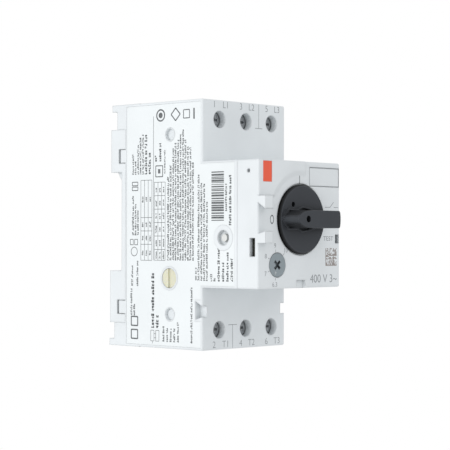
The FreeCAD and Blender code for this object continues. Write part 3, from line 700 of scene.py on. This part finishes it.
def buildFrontMarks():
    pen = frontMarks["pen"]
    sheet = frontSheet(coverFront)
    dial = centreOf("setting_dial") / mm
    for index, text in enumerate(frontMarks["setting"]):
        turn = math.radians(frontMarks["settingFrom"] + index * frontMarks["settingStep"])
        out = Vector((math.cos(turn), math.sin(turn)))
        centre = Vector((dial.x, dial.z))
        figure = centre + out * frontMarks["settingRadius"]
        sheet.letters(text, figure.x, figure.y, frontMarks["figureHeight"])
        sheet.line(tuple(centre + out * frontMarks["tickFrom"]), tuple(centre + out * frontMarks["tickTo"]), pen)
    for start, end in frontMarks["switchSign"]:
        sheet.line(start, end, pen)
    sheet.letters("TEST", *frontMarks["testPlace"], *frontMarks["testSize"])
    sheet.letters(frontMarks["rating"], *frontMarks["ratingPlace"], *frontMarks["ratingSize"])
    sheet.finish("frontMarks", paleInk, "housing", "white_plastic")

    plate = frontSheet(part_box("legend_plate")[0].y)
    low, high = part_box("legend_plate")
    inset = 0.1
    left, right = low.x / mm + inset, high.x / mm - inset
    plate.frame(left, low.z / mm + inset, right, high.z / mm - inset, pen)
    plate.finish("legendOutline", paleInk, "housing", "white_plastic")
    stroke = frontSheet(coverFront)
    stroke.line(*frontMarks["onStroke"], pen * 1.4)
    stroke.circle(frontMarks["offPlace"], frontMarks["offRadius"], frontMarks["offPen"], 36, 0.62)
    stroke.finish("onMark", darkInk, "housing", "white_plastic")

    code = frontSheet(coverFront)
    dice = random.Random(7)
    cells = frontMarks["codeCells"]
    size = frontMarks["codeSize"] / cells
    for row in range(cells):
        for column in range(cells):
            edge = row == 0 or column == 0
            if edge or dice.random() < 0.5:
                u = frontMarks["codeCorner"][0] + column * size
                v = frontMarks["codeCorner"][1] + row * size
                code.bar(u, v, u + size * frontMarks["codeFill"], v + size * frontMarks["codeFill"])
    code.finish("frontCode", codeInk, "housing", "white_plastic")


terminalMarks = {
    "numberShift": -2.7,
    "letterShift": 3.1,
    "height": 2.3,
    "topRow": 41.95,
    "bottomRow": -44.45,
    "edgeGap": 0.3,
    "topTee": (34.4, 2),  # where its cross stroke is, and half its length
    "bottomTee": (-37.6, 2.3),
    "pen": 0.2,
}


def buildTerminalMarks():
    marks = terminalMarks
    sheet = frontSheet(tierFront)
    for row, letter, first in ((marks["topRow"], "L", 1), (marks["bottomRow"], "T", 2)):
        for index, x in enumerate(poleX):
            sheet.letters(str(first + 2 * index), x + marks["numberShift"], row, marks["height"], None, -0.01)
            sheet.letters(letter + str(index + 1), x + marks["letterShift"], row, marks["height"], None, -0.01)
    low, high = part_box("main_housing")
    halfway = (poleX[1] + poleX[2]) / 2
    tee, half = marks["topTee"]
    sheet.line((halfway, high.z / mm - marks["edgeGap"]), (halfway, tee), marks["pen"])
    sheet.line((halfway - half, tee), (halfway + half, tee), marks["pen"])
    halfway = (poleX[0] + poleX[1]) / 2
    tee, half = marks["bottomTee"]
    sheet.line((halfway, low.z / mm + marks["edgeGap"]), (halfway, tee), marks["pen"])
    sheet.line((halfway - half, tee), (halfway + half, tee), marks["pen"])
    sheet.finish("terminalMarks", paleInk, "housing", "white_plastic")


buildFrontMarks()
buildTerminalMarks()
print("front marks laid")

sidePrint = {
    "height": 0.92,
    "pen": 0.17,
    "leftEdge": 17.3,
    "tableEdge": -14.4,
    "lowEdge": -43.9,
    "paragraphLines": 11,
    "paragraphPitch": 1.25,
    "symbolSize": 2.3,
    "symbolMiddle": 38.6,
    "ringAt": -20.9,
    "diamondAt": -28.6,
    "barcodeFrom": -0.1,
    "barcodeFront": -52.5,
    "barcodeRear": -46.5,
}


def textBlock(sheet, dice, edge, first, pitch, lengths, height, bold=False):
    # lines of small print that start at one edge, each with its own length
    for index, length in enumerate(lengths):
        sheet.greek(dice, edge, edge + length, first - index * pitch, height, bold)


def buildSideText():
    dice = random.Random(11)
    sheet = sideSheet()
    tall = sidePrint["height"]
    edge = sidePrint["leftEdge"]
    textBlock(sheet, dice, edge, -6.4, 1.3, [8, 5, 11, 14, 15], tall)
    textBlock(sheet, dice, edge, -13.2, 1.9, [15, 8.5], 1.3, True)
    textBlock(sheet, dice, edge + 4.5, -18.4, 2.3, [2.2, 7], 1.1, True)
    textBlock(sheet, dice, edge, -23.0, 1.3, [9], 0.75)
    textBlock(sheet, dice, -5.2, -6.4, 1.3, [15, 12, 9.5], tall)
    lengths = []
    for index in range(sidePrint["paragraphLines"]):
        bulge = math.sin(math.pi * index / sidePrint["paragraphLines"])
        lengths.append(31 + 15 * bulge + dice.uniform(-2, 2))
    textBlock(sheet, dice, -14.3, -24.8, sidePrint["paragraphPitch"], lengths, tall)
    textBlock(sheet, dice, -21.4, -38.8, 1.35, [5, 38, 35, 34.5, 28], tall)
    textBlock(sheet, dice, -21.5, -46.4, 1.6, [3, 1.2], tall)
    textBlock(sheet, dice, -21.5, -50.0, 2.1, [13, 7, 10.5, 8.5], 1.1, True)
    low = sidePrint["lowEdge"]
    textBlock(sheet, dice, low + 4.8, -16.9, 2.3, [20.5, 5], 1.5, True)
    textBlock(sheet, dice, low, -22.5, 1.85, [6, 5, 5, 5.5, 7.5], tall)
    textBlock(sheet, dice, low, -36.7, 1.3, [20.5], tall, True)
    textBlock(sheet, dice, low + 9, -5.6, 1.5, [10, 4.5], tall)
    textBlock(sheet, dice, low + 20, -6.0, 2.8, [8, 10], tall)
    sheet.finish("sideText", darkInk)


def table(sheet, dice, top, rowHeight, rows, right, cells):
    # ruled grid of cells, with a word or two of small print in each
    pen = sidePrint["pen"]
    edges = [right]
    for width in cells:
        edges.append(edges[-1] - width)
    for row in range(rows + 1):
        y = top - row * rowHeight
        sheet.line((edges[-1], y), (right, y), pen)
    for z in edges:
        sheet.line((z, top), (z, top - rows * rowHeight), pen)
    for row in range(rows):
        for start, end in zip(edges[1:], edges):
            half = min(1.5, (start - end) / -2 - 0.5) * dice.uniform(0.6, 1)
            middle = (start + end) / 2
            sheet.greek(dice, middle - half, middle + half, top - (row + 0.5) * rowHeight, 0.8)


def buildSideTables():
    sheet = sideSheet()
    dice = random.Random(5)
    right = sidePrint["leftEdge"] - 2.2
    step = (right - sidePrint["tableEdge"]) / 6
    table(sheet, dice, -10.6, 1.93, 3, right, [step * 2.8, step, step, step * 1.2])
    table(sheet, dice, -17.7, 1.87, 3, right - 0.9, [step] * 5 + [step * 0.8])
    sheet.line((sidePrint["tableEdge"], -17.2), (38.4, -17.2), sidePrint["pen"])
    sheet.finish("sideTables", darkInk)


def buildSideSymbols():
    # plain shapes that stand where approval marks would be, and stand for nothing
    sheet = sideSheet()
    size = sidePrint["symbolSize"]
    middle, across = sidePrint["symbolMiddle"], sidePrint["diamondAt"]
    sheet.circle((middle, sidePrint["ringAt"]), size, 0.55)
    sheet.circle((middle, sidePrint["ringAt"]), size * 0.45, size * 0.45)
    diamond = [(middle - size, across), (middle, across - size), (middle + size, across), (middle, across + size)]
    for one, two in zip(diamond, diamond[1:] + diamond[:1]):
        sheet.line(one, two, 0.45)
    sheet.frame(37.0, -35.6, 40.0, -32.6, 0.35)
    sheet.bar(36.5, -38.2, 40.4, -37.5)
    sheet.frame(16.2, -22.0, 20.2, -18.4, 0.35)
    sheet.bar(17.4, -20.8, 19.0, -19.6)
    for z in (11.4, 13.2):
        sheet.frame(z, -9.0, z + 1.3, -6.0, 0.3)
    for y in (-8.9, -6.6):
        sheet.frame(-8.7, y, -6.7, y + 1.6, 0.25)
    sheet.circle((-11.2, -7.1), 1.75, 0.25)
    for z in (-43.4, -38.6):
        sheet.frame(z, -9.0, z + 3.3, -5.6, 0.5)
    sheet.finish("sideSymbols", darkInk)

    # two plain boxes joined by two lines, in place of a wiring drawing
    drawing = sideSheet()
    pen = sidePrint["pen"]
    low = sidePrint["lowEdge"]
    drawing.frame(low, -17.6, low + 3.9, -15.9, pen)
    drawing.frame(low, -20.2, low + 3.9, -18.5, pen)
    for z in (low + 1.2, low + 2.7):
        drawing.line((z, -18.5), (z, -17.6), pen)
    drawing.line((low - 0.9, -16.8), (low, -16.8), pen)
    drawing.finish("sideDrawing", darkInk)


def buildBarcode():
    dice = random.Random(3)
    sheet = sideSheet()
    z = sidePrint["barcodeFrom"]
    end = sidePrint["leftEdge"]
    while z < end:
        thick = dice.choice((0.22, 0.35, 0.35, 0.5, 0.7))
        sheet.bar(z, sidePrint["barcodeFront"], min(z + thick, end), sidePrint["barcodeRear"])
        z += thick + dice.choice((0.2, 0.3, 0.42))
    sheet.greek(dice, 3.3, 13.6, -53.5, 0.9)
    sheet.greek(dice, -1.7, 16.6, -55.5, 1.1, True)
    sheet.finish("sideBarcode", darkInk)


buildSideText()
buildSideTables()
buildSideSymbols()
buildBarcode()
print("side label printed")


dialPointer = {
    "turn": 250,  # degrees, counted from the right
    "tip": 3.8,
    "base": 2.5,
    "halfWidth": 0.62,
}


def buildDialPointer():
    dial = centreOf("setting_dial") / mm
    sheet = frontSheet(coverFront)
    turn = math.radians(dialPointer["turn"])
    out = Vector((math.cos(turn), math.sin(turn)))
    across = Vector((-out.y, out.x)) * dialPointer["halfWidth"]
    tip = Vector((dial.x, dial.z)) + out * dialPointer["tip"]
    base = Vector((dial.x, dial.z)) + out * dialPointer["base"]
    sheet.polygon([tuple(tip), tuple(base + across), tuple(base - across)])
    sheet.finish("dialPointer", pointerInk, "dial", "grey_plastic")


buildDialPointer()


def buildFloor():
    bm = bmesh.new()
    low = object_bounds()[0]
    bmesh.ops.create_circle(bm, cap_ends=True, segments=96, radius=studio["floorRadius"])
    bmesh.ops.translate(bm, verts=bm.verts, vec=(0, 0, low[2] - studio["floorDrop"]))
    mesh = bpy.data.meshes.new("floor")
    bm.to_mesh(mesh)
    bm.free()
    floor = bpy.data.objects.new("floor", mesh)
    bpy.context.scene.collection.objects.link(floor)
    material, tree, shader = newMaterial("paleFloor")
    cloud = mixColor(tree, noiseNode(tree, 6, 3), linear(238, 238, 238), linear(244, 244, 244))
    tree.links.new(cloud, shader.inputs["Base Color"])
    shader.inputs["Roughness"].default_value = 0.8
    mesh.materials.append(material)


buildFloor()

print("pieces placed")
